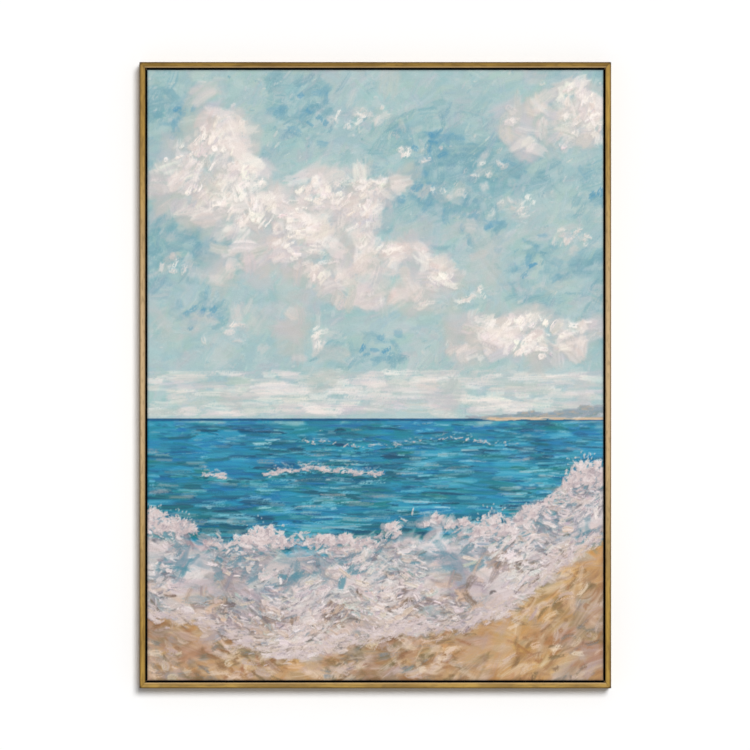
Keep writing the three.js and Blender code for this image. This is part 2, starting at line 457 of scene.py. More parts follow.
for place in OUTER_EDGES:
    dress(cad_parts[f"stretcher_bar_{place}"], pine_material(place, place in ("left", "right")))
print("bars in pine:", ", ".join(OUTER_EDGES))

# %% [markdown]
# ## The picture's layout
#
# The picture is painted on a sheet measured in millimetres from its middle. Its layout is a bay: sky
# with banks of cloud, a far headland, a band of sea with two breakers, a wide heap of surf, and sand in
# the near corners. The surf's two edges follow the same curves as the CAD relief.

# %% Lay out the picture
WIDTH = (paint_high.x - paint_low.x) / MM
HEIGHT = (paint_high.z - paint_low.z) / MM
HORIZON = 0.43
CREST = (0.235, 0.3, 0.18, 0.012)
SHORE = (0.055, 0.36, 0.42, 0.014)
GRAIN = 1.3
SKY_GRAIN = 1.9

columns = np.linspace(-WIDTH / 2, WIDTH / 2, round(WIDTH / GRAIN) + 1)
horizon_z = (HORIZON - 0.5) * canvas_height
rows_below = np.linspace(-HEIGHT / 2, horizon_z, round((horizon_z + HEIGHT / 2) / GRAIN) + 1)
rows_above = np.linspace(horizon_z, HEIGHT / 2, round((HEIGHT / 2 - horizon_z) / SKY_GRAIN) + 1)
rows = np.concatenate([rows_below[:-1], rows_above])
shape = (len(rows), len(columns))
across_grid = np.broadcast_to(columns / canvas_width + 0.5, shape)
up_grid = np.broadcast_to((rows / canvas_height + 0.5)[:, None], shape)


def edge_of_surf(edge, across):
    low, low_at, curl, sway = edge
    return low + curl * (across - low_at) ** 2 + sway * np.sin(15 * across)


def on_canvas(across, up):
    """A place in the picture in millimetres, from its shares of the width and the height."""
    return (across - 0.5) * canvas_width, (up - 0.5) * canvas_height


crest_up = edge_of_surf(CREST, across_grid)
shore_up = edge_of_surf(SHORE, across_grid)
print(f"sheet of {len(columns)} x {len(rows)} points")

# %% [markdown]
# Nothing in a painting is even. What wanders in it, such as the tones of the sky, follows smooth
# patches: values by chance on a wide net, joined smoothly, with finer nets on top. The busy patches
# say where small strokes gather, so that calm planes stay between them.

# %% Make the patches
def patches(seed, size, octaves=3):
    """Smooth patches of about size millimetres over the whole picture, 0 to 1."""
    rng = np.random.default_rng(seed)
    total = np.zeros(shape)
    for octave in range(octaves):
        step = size / 2**octave
        at_x = (columns + WIDTH / 2) / step
        at_z = (rows + HEIGHT / 2) / step
        knots = rng.random((int(at_z[-1]) + 2, int(at_x[-1]) + 2))
        left, low = at_x.astype(int), at_z.astype(int)
        share_x, share_z = at_x - left, (at_z - low)[:, None]
        share_x = share_x**2 * (3 - 2 * share_x)
        share_z = share_z**2 * (3 - 2 * share_z)
        lower = knots[low][:, left] * (1 - share_x) + knots[low][:, left + 1] * share_x
        upper = knots[low + 1][:, left] * (1 - share_x) + knots[low + 1][:, left + 1] * share_x
        total += (lower * (1 - share_z) + upper * share_z) / 2**octave
    return total / (2 - 2 / 2**octaves)


def look(field, x, z):
    """A field's value at a place in the picture."""
    column = min(max(int((x / WIDTH + 0.5) * (len(columns) - 1)), 0), len(columns) - 1)
    row = min(int(np.searchsorted(rows, z)), len(rows) - 1)
    return field[row, column]


large_patches = patches(1, 260)
middle_patches = patches(2, 120)
small_patches = patches(3, 60)
busy = patches(4, 80)
print(f"busy patches from {busy.min():.2f} to {busy.max():.2f}")

# %% [markdown]
# ## Paints
#
# One short palette for each passage of the picture, as colours on a screen. Every stroke takes two
# of them and leaves one as streaks in the other, as a loaded brush does.

# %% Mix the palettes
SKY = {
    "pale": (180, 200, 200), "teal": (152, 186, 190), "deep": (108, 158, 172), "mint": (166, 192, 184),
    "haze": (194, 200, 200), "lilac": (178, 182, 190), "blue": (78, 146, 180), "cream": (226, 218, 210),
}
CLOUD = {
    "cream": (253, 244, 234), "pink": (233, 220, 214), "blush": (216, 199, 192), "lilac": (198, 193, 198),
    "grey": (188, 188, 182), "green": (172, 188, 182),
}
SEA = {
    "dark": (0, 68, 96), "cobalt": (16, 110, 168), "turquoise": (34, 148, 182), "teal": (18, 124, 146),
    "green": (18, 116, 120), "aqua": (92, 178, 200), "pale": (164, 204, 216), "rose": (174, 154, 152),
}
SURF = {
    "white": (234, 223, 221), "pink": (210, 193, 191), "cream": (208, 189, 170), "lilac": (176, 162, 168),
    "mauve": (138, 126, 136), "blue": (126, 146, 160), "teal": (70, 132, 150), "peach": (206, 176, 154),
    "slate": (92, 96, 102), "umber": (112, 94, 80), "mint": (178, 190, 186),
}
SAND = {
    "tan": (188, 157, 122), "ochre": (198, 146, 80), "gold": (212, 166, 98), "sienna": (154, 106, 68),
    "lilac": (182, 160, 158), "cream": (228, 208, 186), "olive": (110, 94, 62), "blue": (112, 128, 142),
    "rose": (190, 144, 122), "umber": (108, 82, 56),
}
LAND = {
    "slate": (138, 156, 168), "haze": (162, 164, 170), "sage": (124, 144, 142), "dune": (180, 164, 148),
}


def paint(palette, name):
    return np.array(palette[name], float) / 255


def dip(rng, palette, shares):
    """A paint taken from a palette: the one that is named, or one by chance in the shares given."""
    if isinstance(shares, str):
        return paint(palette, shares)
    names = list(shares)
    weights = np.array([max(0.0, shares[name]) for name in names])
    return paint(palette, names[rng.choice(len(names), p=weights / weights.sum())])


# %% [markdown]
# ## One stroke
#
# The sheet holds a colour and a height at each of its points, and a stroke changes only the points
# under it. In the stroke's own measure, u runs along it from -1 to 1 and v across it, bent into an arc.
# The hairs of the brush make tracks over v: each track has its own length, its own streak of colour
# and its own depth of paint. A knife leaves a raised rim of paint along the stroke's edges.

# %% Paint a stroke
def wander_over(rng, place, rate):
    """A value from 0 to 1 that wanders over a place from -1.3 to 1.3, at so many knots for each unit."""
    knots = int(2.6 * rate) + 2
    return np.interp((place + 1.3) * rate, np.arange(knots), rng.random(knots))


class Sheet:
    """The paint on the canvas: a screen colour and a height in millimetres at each point."""

    def __init__(self):
        self.colour = np.zeros((*shape, 3))
        self.height = np.zeros(shape)
        self.strokes = 0

    def window(self, x, z, reach_x, reach_z):
        """The rows and the columns that lie within a reach of a place."""
        left, right = np.searchsorted(columns, (x - reach_x, x + reach_x))
        low, high = np.searchsorted(rows, (z - reach_z, z + reach_z))
        return slice(low, high), slice(left, right)

    def stroke(self, rng, x, z, angle, length, width, colour, streaks, load=0.5, ground=0.4, rim=0.0,
               cover=0.9, bend=0.0, dry=0.0, ragged=0.4, taper=0.6, soft=GRAIN):
        """A stroke about a place. load, ground and rim are millimetres of paint, cover is how opaque it
        is, bend its arc, dry, ragged and taper how it breaks up towards its end and its edges, and
        soft the width of its fading edge in millimetres."""
        cosine, sine = math.cos(angle), math.sin(angle)
        half_length, half_width = length / 2, width / 2
        wide = half_width * (1 + abs(bend)) + soft / 2
        reach_x = abs(cosine) * half_length + abs(sine) * wide + GRAIN
        reach_z = abs(sine) * half_length + abs(cosine) * wide + GRAIN
        window = self.window(x, z, reach_x, reach_z)
        off_x, off_z = columns[window[1]] - x, (rows[window[0]] - z)[:, None]
        if off_x.size == 0 or off_z.size == 0:
            return
        u = (off_x * cosine + off_z * sine) / half_length
        v = (off_z * cosine - off_x * sine) / half_width - bend * (u * u - 0.3)
        track = wander_over(rng, v, 3.5)
        streak = wander_over(rng, v, 5.5)
        wobble = wander_over(rng, u, 2.7)
        side = (1 - ragged * wobble) * (1 - taper * np.minimum(np.abs(u), 1) ** 3) - np.abs(v)
        end = 1 - 1.2 * ragged * track - np.abs(u)
        inside = np.minimum(side * half_width, end * half_length)
        share = np.clip(inside / soft + 0.5, 0, 1)
        # The brush runs dry towards the stroke's end, hair by hair.
        if dry > 0:
            hair = track * 0.65 + rng.random(share.shape) * 0.35
            share = share * np.clip((hair - dry * (0.35 + 0.325 * (u + 1))) * 5, 0, 1)
        tone = colour + (streaks - colour) * (streak * 0.9)[..., None] + (0.04 * (track - 0.5))[..., None]
        self.colour[window] += (tone - self.colour[window]) * (share * cover)[..., None]
        # It pushes paint along to the end, and out to the rim.
        body = ground + load * (0.35 + 0.35 * streak + 0.3 * (u + 1) / 2)
        if rim > 0:
            body = body + rim * np.exp(-((inside / (1.2 * GRAIN)) ** 2)) * (0.4 + 0.6 * wobble)
        self.height[window] += (body - self.height[window]) * share * min(1, cover + 0.1)
        self.strokes += 1


# %% [markdown]
# A painter doesn't place each stroke, but keeps to a manner: how long and wide the strokes of a
# passage are, which way they lie and how loaded they are. So a passage is a call that gives these as
# spans, and each stroke takes its own values from them by chance. The seeds are fixed, so the picture
# comes out the same each time.

# %% Lay one stroke by chance
def pick(rng, span):
    """A number by chance from a span (low, high), or a plain number as it is."""
    return rng.uniform(*span) if isinstance(span, tuple) else span


def dab(rng, x, z, angle, palette, shares, streaks, long, wide, size=1.0, jitter=0.0, bend=0.0,
        cover=0.85, **touch):
    """One stroke. shares and streaks give its two paints as dip takes them, bend is how far its arc
    may vary, and jitter how far its colour may."""
    length, width = pick(rng, long) * size, pick(rng, wide) * size
    colour = dip(rng, palette, shares)
    if jitter:
        colour = colour + rng.normal(0, jitter, 3)
    second = dip(rng, palette, streaks)
    arc = rng.normal(0, bend) if bend else 0.0
    sheet.stroke(rng, x, z, angle, length, width, colour, second, bend=arc,
                 cover=min(1, pick(rng, cover)), **touch)


# %% Lay a whole passage
def lay(palette, area, seed, count, shares_of, slope=0.0, spread=0.3, bend=0.3, turn=0.0, cover=0.8,
        fade=0.65, size_of=None, busier=None, **touch):
    """Lay count strokes over an area. area gives the lowest and highest place for each place across,
    and shares_of the shares of the palette's paints at a place, or None where the stroke is left out.
    The thinnest stroke has the share fade of the cover. turn makes neighbouring strokes turn together.
    With busier, the strokes keep to the patches of the picture that are at least so busy."""
    rng = np.random.default_rng(seed)
    for _ in range(count):
        x = rng.uniform(-WIDTH / 2, WIDTH / 2)
        across = x / canvas_width + 0.5
        low, high = area(across)
        share = rng.random()
        z = on_canvas(across, low + (high - low) * share)[1]
        shares = shares_of(x, z, share)
        if shares is None or (busier and look(busy, x, z) < busier + rng.normal(0, 0.04)):
            continue
        angle = (slope(across) if callable(slope) else slope) + rng.normal(0, spread)
        angle += turn * (look(small_patches, x, z) - 0.5)
        dab(rng, x, z, angle, palette, shares, shares, size=size_of(z) if size_of else 1.0,
            jitter=0.014, bend=bend, cover=(cover * fade, cover * 1.1), **touch)


def clusters(seed, places, palette, shares, count, apart, **touch):
    """A cluster of strokes at each of the places."""
    rng = np.random.default_rng(seed)
    for across, up in places:
        middle_x, middle_z = on_canvas(across, up)
        for _ in range(rng.integers(*count)):
            x = middle_x + rng.normal(0, apart)
            z = middle_z + rng.normal(0, apart * 0.7)
            if up > HORIZON:
                z = max(z, horizon_z + 20)
            dab(rng, x, z, rng.normal(0.5, 0.7), palette, shares, shares, bend=0.4, **touch)


def always(**shares):
    """The same shares everywhere."""
    return lambda x, z, share: shares


def report(passage):
    print(f"{passage}: {sheet.strokes} strokes so far, {time.time() - started:.1f} s")


sheet = Sheet()
started = time.time()

# %% [markdown]
# ## Sky and clouds
#
# The grounds go in first. Then the sky is brushed with large soft strokes that wander between pale
# and deeper teal, and with smaller ones. A band of low cream haze lies along the horizon.

# %% Lay in the grounds
def ground(where, palette, field, first, second, height):
    """A thin ground of two paints that wander into each other."""
    share = np.clip(1.6 * field - 0.3, 0, 1)[..., None]
    sheet.colour[where] = (paint(palette, first) * (1 - share) + paint(palette, second) * share)[where]
    sheet.height[where] = height


ground(up_grid >= HORIZON, SKY, large_patches, "teal", "pale", 0.4)
ground(up_grid < HORIZON, SEA, middle_patches, "teal", "turquoise", 0.5)
ground(up_grid < crest_up, SURF, middle_patches, "mauve", "pink", 1.1)
ground(up_grid < shore_up, SAND, middle_patches, "sienna", "tan", 0.6)
print(f"grounds: {sheet.height.mean():.2f} mm thick on average")


# %% Brush in the sky
def sky_area(across):
    return HORIZON + 0.004, 1.0


def sky_shares(x, z, share):
    tone = 0.55 * look(large_patches, x, z) + 0.45 * look(middle_patches, x, z)
    near_horizon = max(0, 1 - (z - horizon_z) / 120)
    return {
        "pale": 0.3 + near_horizon + max(0, tone - 0.5) * 4, "teal": 0.6, "mint": 0.25, "lilac": 0.1,
        "deep": max(0, 0.48 - tone) * 10 * (1 - near_horizon), "haze": 0.15 + max(0, tone - 0.52) * 5,
    }


lay_sky = partial(lay, SKY, sky_area)
lay_sky(21, 1000, sky_shares, long=(60, 120), wide=(26, 48), slope=0.35, spread=0.5, cover=0.5, soft=6,
        load=0.12, ground=0.36, dry=0.1)
lay_sky(22, 1500, sky_shares, long=(26, 60), wide=(12, 24), slope=0.45, spread=0.6, cover=0.5, soft=3,
        load=0.16, ground=0.36, dry=0.15)
lay_sky(23, 900, sky_shares, long=(14, 36), wide=(5, 10), slope=0.6, spread=0.6, cover=0.5, load=0.25,
        ground=0.38, rim=0.1, dry=0.35)
lay_sky(24, 2000, always(cream=0.5, haze=1, pale=1, teal=1, deep=0.5), long=(5, 18), wide=(2.4, 6),
        slope=0.6, spread=0.5, bend=0.2, turn=2, cover=0.6, fade=0.3, busier=0.46, load=0.35, rim=0.3,
        dry=0.35)
report("sky")

# %% Set deeper and lighter patches into the sky
DEEP_PLACES = [(0.62, 0.88), (0.72, 0.74), (0.13, 0.6), (0.36, 0.93), (0.86, 0.68), (0.5, 0.54),
               (0.08, 0.93), (0.6, 0.8), (0.97, 0.8)]
PUFFS = [(0.66, 0.8), (0.75, 0.84), (0.58, 0.87), (0.2, 0.58), (0.38, 0.56), (0.93, 0.72), (0.47, 0.92),
         (0.7, 0.63), (0.06, 0.68), (0.8, 0.78)]
clusters(31, DEEP_PLACES, SKY, {"deep": 0.7, "blue": 0.2, "teal": 0.3}, count=(16, 32), apart=28,
         long=(16, 40), wide=(9, 18), cover=(0.2, 0.5), load=0.2, dry=0.2, soft=3)
clusters(32, DEEP_PLACES, SKY, {"blue": 0.8, "deep": 0.3}, count=(3, 9), apart=20, long=(10, 24),
         wide=(6, 12), cover=(0.4, 0.8), load=0.3, dry=0.3)
clusters(33, PUFFS, CLOUD, {"pink": 0.5, "blush": 0.3, "lilac": 0.4, "green": 0.4}, count=(5, 12),
         apart=22, long=(18, 44), wide=(10, 20), cover=(0.2, 0.5), load=0.3, ground=0.45, dry=0.2, soft=4)
clusters(35, PUFFS, CLOUD, {"cream": 0.5, "pink": 0.5, "blush": 0.3}, count=(6, 14), apart=17,
         long=(10, 32), wide=(6, 15), cover=(0.3, 0.8), load=0.5, ground=0.5, rim=0.3, ragged=0.6,
         dry=0.4, soft=2)
report("patches in the sky")


# %% Draw the haze along the horizon
def haze_area(across):
    return HORIZON + 0.004, HORIZON + 0.075


lay(CLOUD, haze_area, 34, 340, always(cream=0.3, pink=0.5, lilac=0.3, green=0.3), long=(30, 90),
    wide=(6, 15), spread=0.07, cover=0.5, load=0.2, dry=0.3, soft=2.5)
report("haze")

# %% [markdown]
# The clouds are heaps of round lobes. Each lobe knows how lit it is at a place, so the strokes over it
# can turn from cool greys on the shaded side to warm lights on the lit one.

# %% Heap up the clouds
CLOUD_BANKS = [(0.27, 0.77, 0.25, 0.12), (0.52, 0.66, 0.15, 0.06), (0.9, 0.9, 0.13, 0.05),
               (0.84, 0.56, 0.2, 0.045)]
LOBES = 16
rng = np.random.default_rng(5)
cloud = np.zeros(shape)
lit = np.zeros(shape)
for across, up, wide, tall in CLOUD_BANKS:
    for _ in range(LOBES):
        turn, out = rng.uniform(0, 2 * math.pi), 0.8 * rng.random() ** 0.6
        lobe_x = (across_grid - across - wide * out * math.cos(turn)) / (wide * rng.uniform(0.26, 0.48))
        lift = 1.2 if math.sin(turn) > 0 else 0.6
        lobe_z = (up_grid - up - tall * out * lift * math.sin(turn)) / (tall * rng.uniform(0.34, 0.7))
        density = np.clip(1.25 - np.hypot(lobe_x, lobe_z), 0, 1)
        side = 0.5 + 0.3 * np.clip(0.8 * lobe_x + lobe_z, -1.4, 1.4)
        lit = np.where(density > cloud, side, lit)
        cloud = np.maximum(cloud, density)
cloud = np.clip(cloud + 0.9 * (middle_patches - 0.5) + 0.5 * (small_patches - 0.5), 0, 1.2)
lit = lit + 0.08 + 1.1 * (large_patches - 0.5) + 0.5 * (small_patches - 0.5)
fray = patches(6, 22, 2)
print(f"clouds cover {100 * np.mean(cloud > 0.4):.0f} % of the sheet")

# %% [markdown]
# Broad soft planes in cool greys go on first, then warmer and lighter ones, and last small loaded
# strokes. The small ones keep to the busier patches and lie side by side there, so that calm planes of
# paint stay between them.

# %% Paint the clouds
def cloud_shares(least, cream, pink, blush, cool):
    """Shares that turn from cool greys on the shaded side to warm lights on the lit one."""

    def shares_of(x, z, share):
        if look(cloud, x, z) < least + 0.5 * (look(fray, x, z) - 0.5):
            return None
        light = min(max(look(lit, x, z), 0), 1)
        shade = 1 - light
        return {"cream": cream * light**1.5, "pink": pink, "blush": blush * (0.4 + shade),
                "lilac": cool * shade, "grey": 0.7 * cool * shade, "green": cool * shade**2}

    return shares_of


lay_cloud = partial(lay, CLOUD, sky_area)
lay_cloud(41, 1300, cloud_shares(0.26, 0, 0.1, 0.25, 1.5), long=(40, 90), wide=(20, 42), slope=0.3,
          spread=0.8, bend=0.5, cover=0.38, soft=7, load=0.2, ground=0.45)
lay_cloud(42, 1500, cloud_shares(0.36, 0.7, 0.7, 0.4, 0.9), long=(24, 60), wide=(13, 30), slope=0.4,
          spread=0.8, cover=0.55, soft=4, load=0.4, ground=0.5, rim=0.15, dry=0.1)
lay_cloud(43, 2200, cloud_shares(0.48, 1.5, 0.7, 0.3, 0.5), long=(12, 36), wide=(6, 15), slope=0.5,
          spread=0.5, bend=0.25, turn=2, cover=0.65, fade=0.4, busier=0.44, load=0.5, ground=0.55,
          rim=0.5, dry=0.25, taper=0.3, soft=2.5)
lay_cloud(44, 2600, cloud_shares(0.56, 2.2, 0.4, 0.1, 0.1), long=(6, 26), wide=(3, 11), slope=0.5,
          spread=0.4, bend=0.2, turn=3, cover=0.85, fade=0.35, busier=0.5, load=0.8, ground=0.6,
          rim=0.6, dry=0.35, taper=0.3)
lay_cloud(45, 1400, cloud_shares(0.55, 0, 0.1, 0.7, 1.2), long=(6, 20), wide=(2.4, 6), slope=0.5,
          spread=0.4, bend=0.25, turn=3, cover=0.6, fade=0.3, busier=0.52, load=0.1, ground=0.5, dry=0.3)
report("clouds")

# %% [markdown]
# ## Sea and headland
#
# Sea strokes are long and level. They are small and close at the horizon and grow towards the viewer,
# which is all the perspective that the water needs. Over the broad strokes go darker lens-shaped
# swells and thin pale and rosy lights. A dark line ends the water at the horizon.

# %% Brush in the sea
def sea_area(across):
    return edge_of_surf(CREST, across) - 0.02, HORIZON - 0.008


def sea_size(z):
    return 0.4 + 0.75 * min(1, (horizon_z - z) / 200)


def sea_shares(dark, bright):
    def shares_of(x, z, share):
        tone = 0.5 * look(middle_patches, x, 2.5 * z) + 0.5 * look(large_patches, x, 1.5 * z)
        deep, shine = max(0, 0.52 - tone), max(0, tone - 0.5)
        return {"dark": dark * (0.25 * share + 5 * deep), "cobalt": 0.3 + 0.5 * share, "teal": 0.4 + deep,
                "turquoise": 0.6 + 3 * shine, "green": 0.2 + 3 * deep, "aqua": bright * (0.1 + 4 * shine),
                "pale": 0.3 * bright * shine}

    return shares_of


lay_sea = partial(lay, SEA, sea_area, size_of=sea_size)
lay_sea(51, 800, sea_shares(1, 0.6), long=(80, 190), wide=(14, 32), spread=0.04, cover=0.7, load=0.35,
        ground=0.45, soft=4)
lay_sea(52, 700, sea_shares(1.2, 1), long=(36, 120), wide=(5, 16), spread=0.06, cover=0.75, fade=0.4,
        load=0.4, ground=0.45, rim=0.2, dry=0.1, soft=2.5)
lay_sea(53, 200, always(dark=1, green=0.8, teal=0.4), long=(40, 130), wide=(4, 14), slope=-0.03,
        spread=0.06, bend=0.6, cover=0.85, fade=0.4, load=0.4, ground=0.5, rim=0.3, soft=2.5, taper=0.9)
lay_sea(59, 240, always(dark=1, cobalt=1), long=(14, 80), wide=(2, 4.5), slope=-0.03, spread=0.06,
        bend=0.4, cover=0.85, fade=0.4, busier=0.46, load=0.5, ground=0.5, rim=0.4, dry=0.2)
lay_sea(54, 800, always(pale=1, rose=0.2, aqua=1.4), long=(12, 80), wide=(1.8, 7), spread=0.05,
        cover=0.8, fade=0.35, busier=0.48, load=0.6, ground=0.5, rim=0.3, dry=0.35, soft=2)
lay_sea(55, 110, always(rose=0.6, pale=0.4), long=(30, 80), wide=(6, 13), spread=0.05, cover=0.45,
        load=0.3, ground=0.5, dry=0.35, soft=2.5)

rng = np.random.default_rng(56)
for x in np.linspace(-WIDTH / 2, WIDTH / 2, 90):
    dab(rng, x + rng.uniform(-4, 4), horizon_z - 2.8, rng.normal(0, 0.01), SEA, "dark", "cobalt",
        long=(20, 50), wide=4.4, load=0.35, ground=0.5, ragged=0.1)
report("sea")

# %% [markdown]
# A low headland in slate and sage closes the bay at the right, with a strip of pale sand at its foot.

# %% Close the bay with the headland
HEADLAND_REACH = 215
BEACH_REACH = 190
HEADLAND_SHARES = {"slate": 1, "haze": 1, "sage": 1, "dune": 0.7}
for _ in range(150):
    near_edge = rng.random() ** 0.7
    x = WIDTH / 2 - (1 - near_edge) * HEADLAND_REACH
    top = 3 + 17 * near_edge**1.5 + 3 * math.sin(x / 17)
    dab(rng, x, horizon_z + rng.random() * top, rng.normal(0.08, 0.12), LAND, HEADLAND_SHARES, "slate",
        long=(12, 34), wide=(3, 7), ground=0.5, cover=0.8, rim=0.1, dry=0.15)
for _ in range(60):
    dab(rng, WIDTH / 2 - rng.random() * BEACH_REACH, horizon_z - 1.5 + rng.normal(0, 0.8), 0, SAND,
        "cream", "tan", long=(12, 34), wide=(2, 3.4), ground=0.6, cover=0.8, ragged=0.3)
report("headland")

# %% [markdown]
# Two breakers cross the middle distance, the farther one smaller. Each has green water under its lip,
# the white lip itself, and torn foam behind it.

# %% Run the breakers across
def breaker(seed, up, first, last, count, size):
    """A line of foam at the height up, from the place first to the place last across the picture."""
    rng = np.random.default_rng(seed)
    for number in range(count):
        part = number / count
        across = rng.uniform(first, last)
        x, line = on_canvas(across, up + 0.006 * math.sin(22 * across) + 0.02 * (across - first))
        long, wide = rng.uniform(6, 26) * size, rng.uniform(2.4, 7) * size
        if part < 0.25:
            dab(rng, x, line - 7 * size, 0.03, SEA, {"aqua": 1, "dark": 1}, "green", 1.5 * long, wide,
                ground=0.6, rim=0.2, cover=0.7, dry=0.2)
        elif look(busy, x, line) > 0.42:
            torn = part > 0.75
            shares = {"white": 0.3, "pink": 0.6, "lilac": 0.4, "blue": 0.6 if torn else 0.1}
            z = line + rng.normal(7 if torn else 0, 4 if torn else 2.2) * size
            dab(rng, x, z, rng.normal(0.05, 0.35), SURF, shares, "pink", long, wide, bend=0.4, load=0.9,
                ground=0.8, rim=0.5, cover=0.55 if torn else 0.85, ragged=0.6, dry=0.45 if torn else 0.25)


breaker(57, up=0.335, first=0.04, last=0.56, count=300, size=1.0)
breaker(58, up=0.385, first=0.34, last=0.8, count=130, size=0.6)
report("breakers")

# %% [markdown]
# ## Sand
#
# Overlapping strokes that run down to the water's edge, worked wet into wet in tan, ochre and a cool
# lilac. A few patches are broken up with olive, umber and blue, and with lighter dabs.

# %% Brush in the sand
def sand_area(across):
    return 0.0, edge_of_surf(SHORE, across) + 0.012


def sand_slope(across):
    return 1.1 * (across - 0.36)


def sand_shares(**shares):
    """Shares that lean to the warm paints in some patches and to the cool ones in others."""

    def shares_of(x, z, share):
        tone = look(middle_patches, x, z)
        warm, cool = max(0, tone - 0.45) * 4, max(0, 0.5 - tone) * 4
        scale = {"ochre": 0.4 + warm, "gold": 0.2 + warm, "lilac": 0.5 + cool, "olive": 0.3 + cool,
                 "sienna": 0.6 + cool, "umber": cool, "blue": cool}
        return {name: value * scale.get(name, 1) for name, value in shares.items()}

    return shares_of


lay_sand = partial(lay, SAND, sand_area, slope=sand_slope)
lay_sand(61, 560, sand_shares(tan=5, ochre=5, lilac=4, gold=3, sienna=2), long=(60, 140), wide=(24, 50),
         cover=0.6, soft=9, load=0.25)
lay_sand(62, 700, sand_shares(tan=5, ochre=5, lilac=4, gold=4, sienna=4, cream=3, rose=2, olive=4),
         long=(34, 86), wide=(15, 32), spread=0.4, bend=0.4, cover=0.55, soft=7, load=0.35)
lay_sand(63, 420, sand_shares(tan=3, ochre=3, sienna=3, cream=3, olive=4, lilac=3, blue=1),
         long=(18, 56), wide=(9, 20), spread=0.45, bend=0.5, cover=0.5, soft=5, load=0.45, rim=0.3,
         taper=0.3)
lay_sand(64, 560, sand_shares(olive=2, umber=2, blue=3, sienna=2), long=(8, 38), wide=(3, 10),
         spread=0.5, bend=0.6, cover=0.6, busier=0.5, load=0.3, rim=0.5, dry=0.3, soft=2.5)
lay_sand(65, 210, sand_shares(cream=4, tan=1, lilac=2), long=(12, 44), wide=(6, 16), spread=0.5,
         bend=0.6, cover=0.65, busier=0.5, load=0.8, rim=0.7, dry=0.35, soft=2.5)
report("sand")

# %% [markdown]
# ## Surf
#
# The surf is the thickest paint, heaped with a knife. Broad planes go in first, light where the swells
# rise and lilac, blue and teal where they sink.

# %% Choose the surf's places and paints
def surf_area(across):
    wave = 0.012 * math.sin(19 * across + 2)
    return edge_of_surf(SHORE, across) - 0.004, edge_of_surf(CREST, across) + wave


def inner_surf(across):
    low, high = surf_area(across)
    return low + 0.02, high - 0.045


def below_crest(across):
    low, high = surf_area(across)
    return low, high - 0.016


def surf_slope(across):
    return 0.75 * (across - 0.34)


def surf_shares(light, dark, water):
    """Shares that follow the swells: light where they rise, lilac, blue and teal in their hollows."""

    def shares_of(x, z, share):
        tone = 0.5 * look(middle_patches, x - 0.5 * z, z) + 0.3 * look(small_patches, x, z)
        tone += 0.2 * look(large_patches, x, z)
        hollow, rise = max(0, 0.5 - tone), max(0, tone - 0.46)
        return {"white": light * 9 * rise, "pink": 0.8 + 5 * rise, "cream": 0.6 * (1.2 - share),
                "peach": max(0, 0.6 - share), "mint": 0.3, "lilac": 0.3 + 7 * dark * hollow,
                "mauve": 8 * dark * hollow, "blue": 0.15 * water + 7 * water * hollow,
                "teal": water * share * (0.15 + 7 * hollow), "umber": 4 * dark * hollow * (1 - share)}

    return shares_of


def surf_darks_and_crevice_shade(x, z, share):
    """Dark paint for the crevices, which also paints the shade in them: slate and teal towards the sea,
    umber towards the sand.
    """
    return {"slate": 0.6, "mauve": 0.8, "lilac": 0.5, "blue": share, "teal": 2.5 * max(0, share - 0.55),
            "umber": 1.4 * max(0, 0.6 - share)}


# %% Lay the surf's planes
lay_surf = partial(lay, SURF, slope=surf_slope, ground=0.8)
lay_surf(inner_surf, 71, 400, surf_shares(0.4, 1.4, 1.6), long=(70, 150), wide=(28, 56), spread=0.4,
         bend=0.4, cover=0.6, soft=8, load=0.4)
lay_surf(inner_surf, 72, 620, surf_shares(0.6, 1.2, 1.3), long=(30, 84), wide=(14, 34), spread=0.5,
         bend=0.5, cover=0.65, soft=4, load=0.5, rim=0.4, taper=0.25)
lay_surf(surf_area, 75, 900, surf_shares(1.1, 1.5, 1.8), long=(18, 56), wide=(8, 24), spread=0.4,
         bend=0.6, turn=2, cover=0.7, fade=0.3, busier=0.4, load=0.6, rim=0.8, dry=0.2, taper=0.2,
         soft=2.5)
lay_surf(inner_surf, 77, 420, surf_shares(1.2, 0.9, 1.0), long=(34, 100), wide=(14, 38), spread=0.4,
         bend=0.5, turn=2, cover=0.6, fade=0.4, load=0.5, rim=0.5, dry=0.2, taper=0.2, soft=4)
report("planes of the surf")

# %% [markdown]
# Blue hollows under the crest and bars of wet sand near the shore open the planes up. Over them go
# small strokes, dark in the crevices and light on the ridges; the dark paint in the crevices also
# paints the shade that falls there. Neighbours turn together, which is what makes them read as heaps of
# foam and not as scattered flecks.

# %% Open the hollows and heap the foam
HOLLOWS = [(0.07, 0.2), (0.2, 0.19), (0.33, 0.17), (0.47, 0.2), (0.6, 0.19), (0.72, 0.22), (0.86, 0.27),
           (0.95, 0.24)]
SAND_BARS = [(0.14, 0.12), (0.28, 0.1), (0.42, 0.11), (0.56, 0.13), (0.68, 0.15), (0.8, 0.19)]
clusters(73, HOLLOWS, SURF, {"teal": 1, "blue": 1, "mauve": 0.5, "lilac": 0.6}, count=(20, 36), apart=24,
         long=(16, 50), wide=(5, 15), cover=(0.25, 0.75), load=0.2, ground=0.6, dry=0.25, soft=3)
clusters(74, SAND_BARS, SURF, {"umber": 0.8, "peach": 1, "mauve": 0.5}, count=(12, 24), apart=20,
         long=(16, 50), wide=(6, 16), cover=(0.4, 0.9), load=0.2, ground=0.6, dry=0.25, soft=3)
lay_surf(below_crest, 76, 1400, surf_darks_and_crevice_shade, long=(6, 34), wide=(2, 6.5), bend=0.6, turn=3, cover=0.8,
         fade=0.1, busier=0.48, load=0.2, ground=0.6, rim=0.2, dry=0.3, soft=2.5)
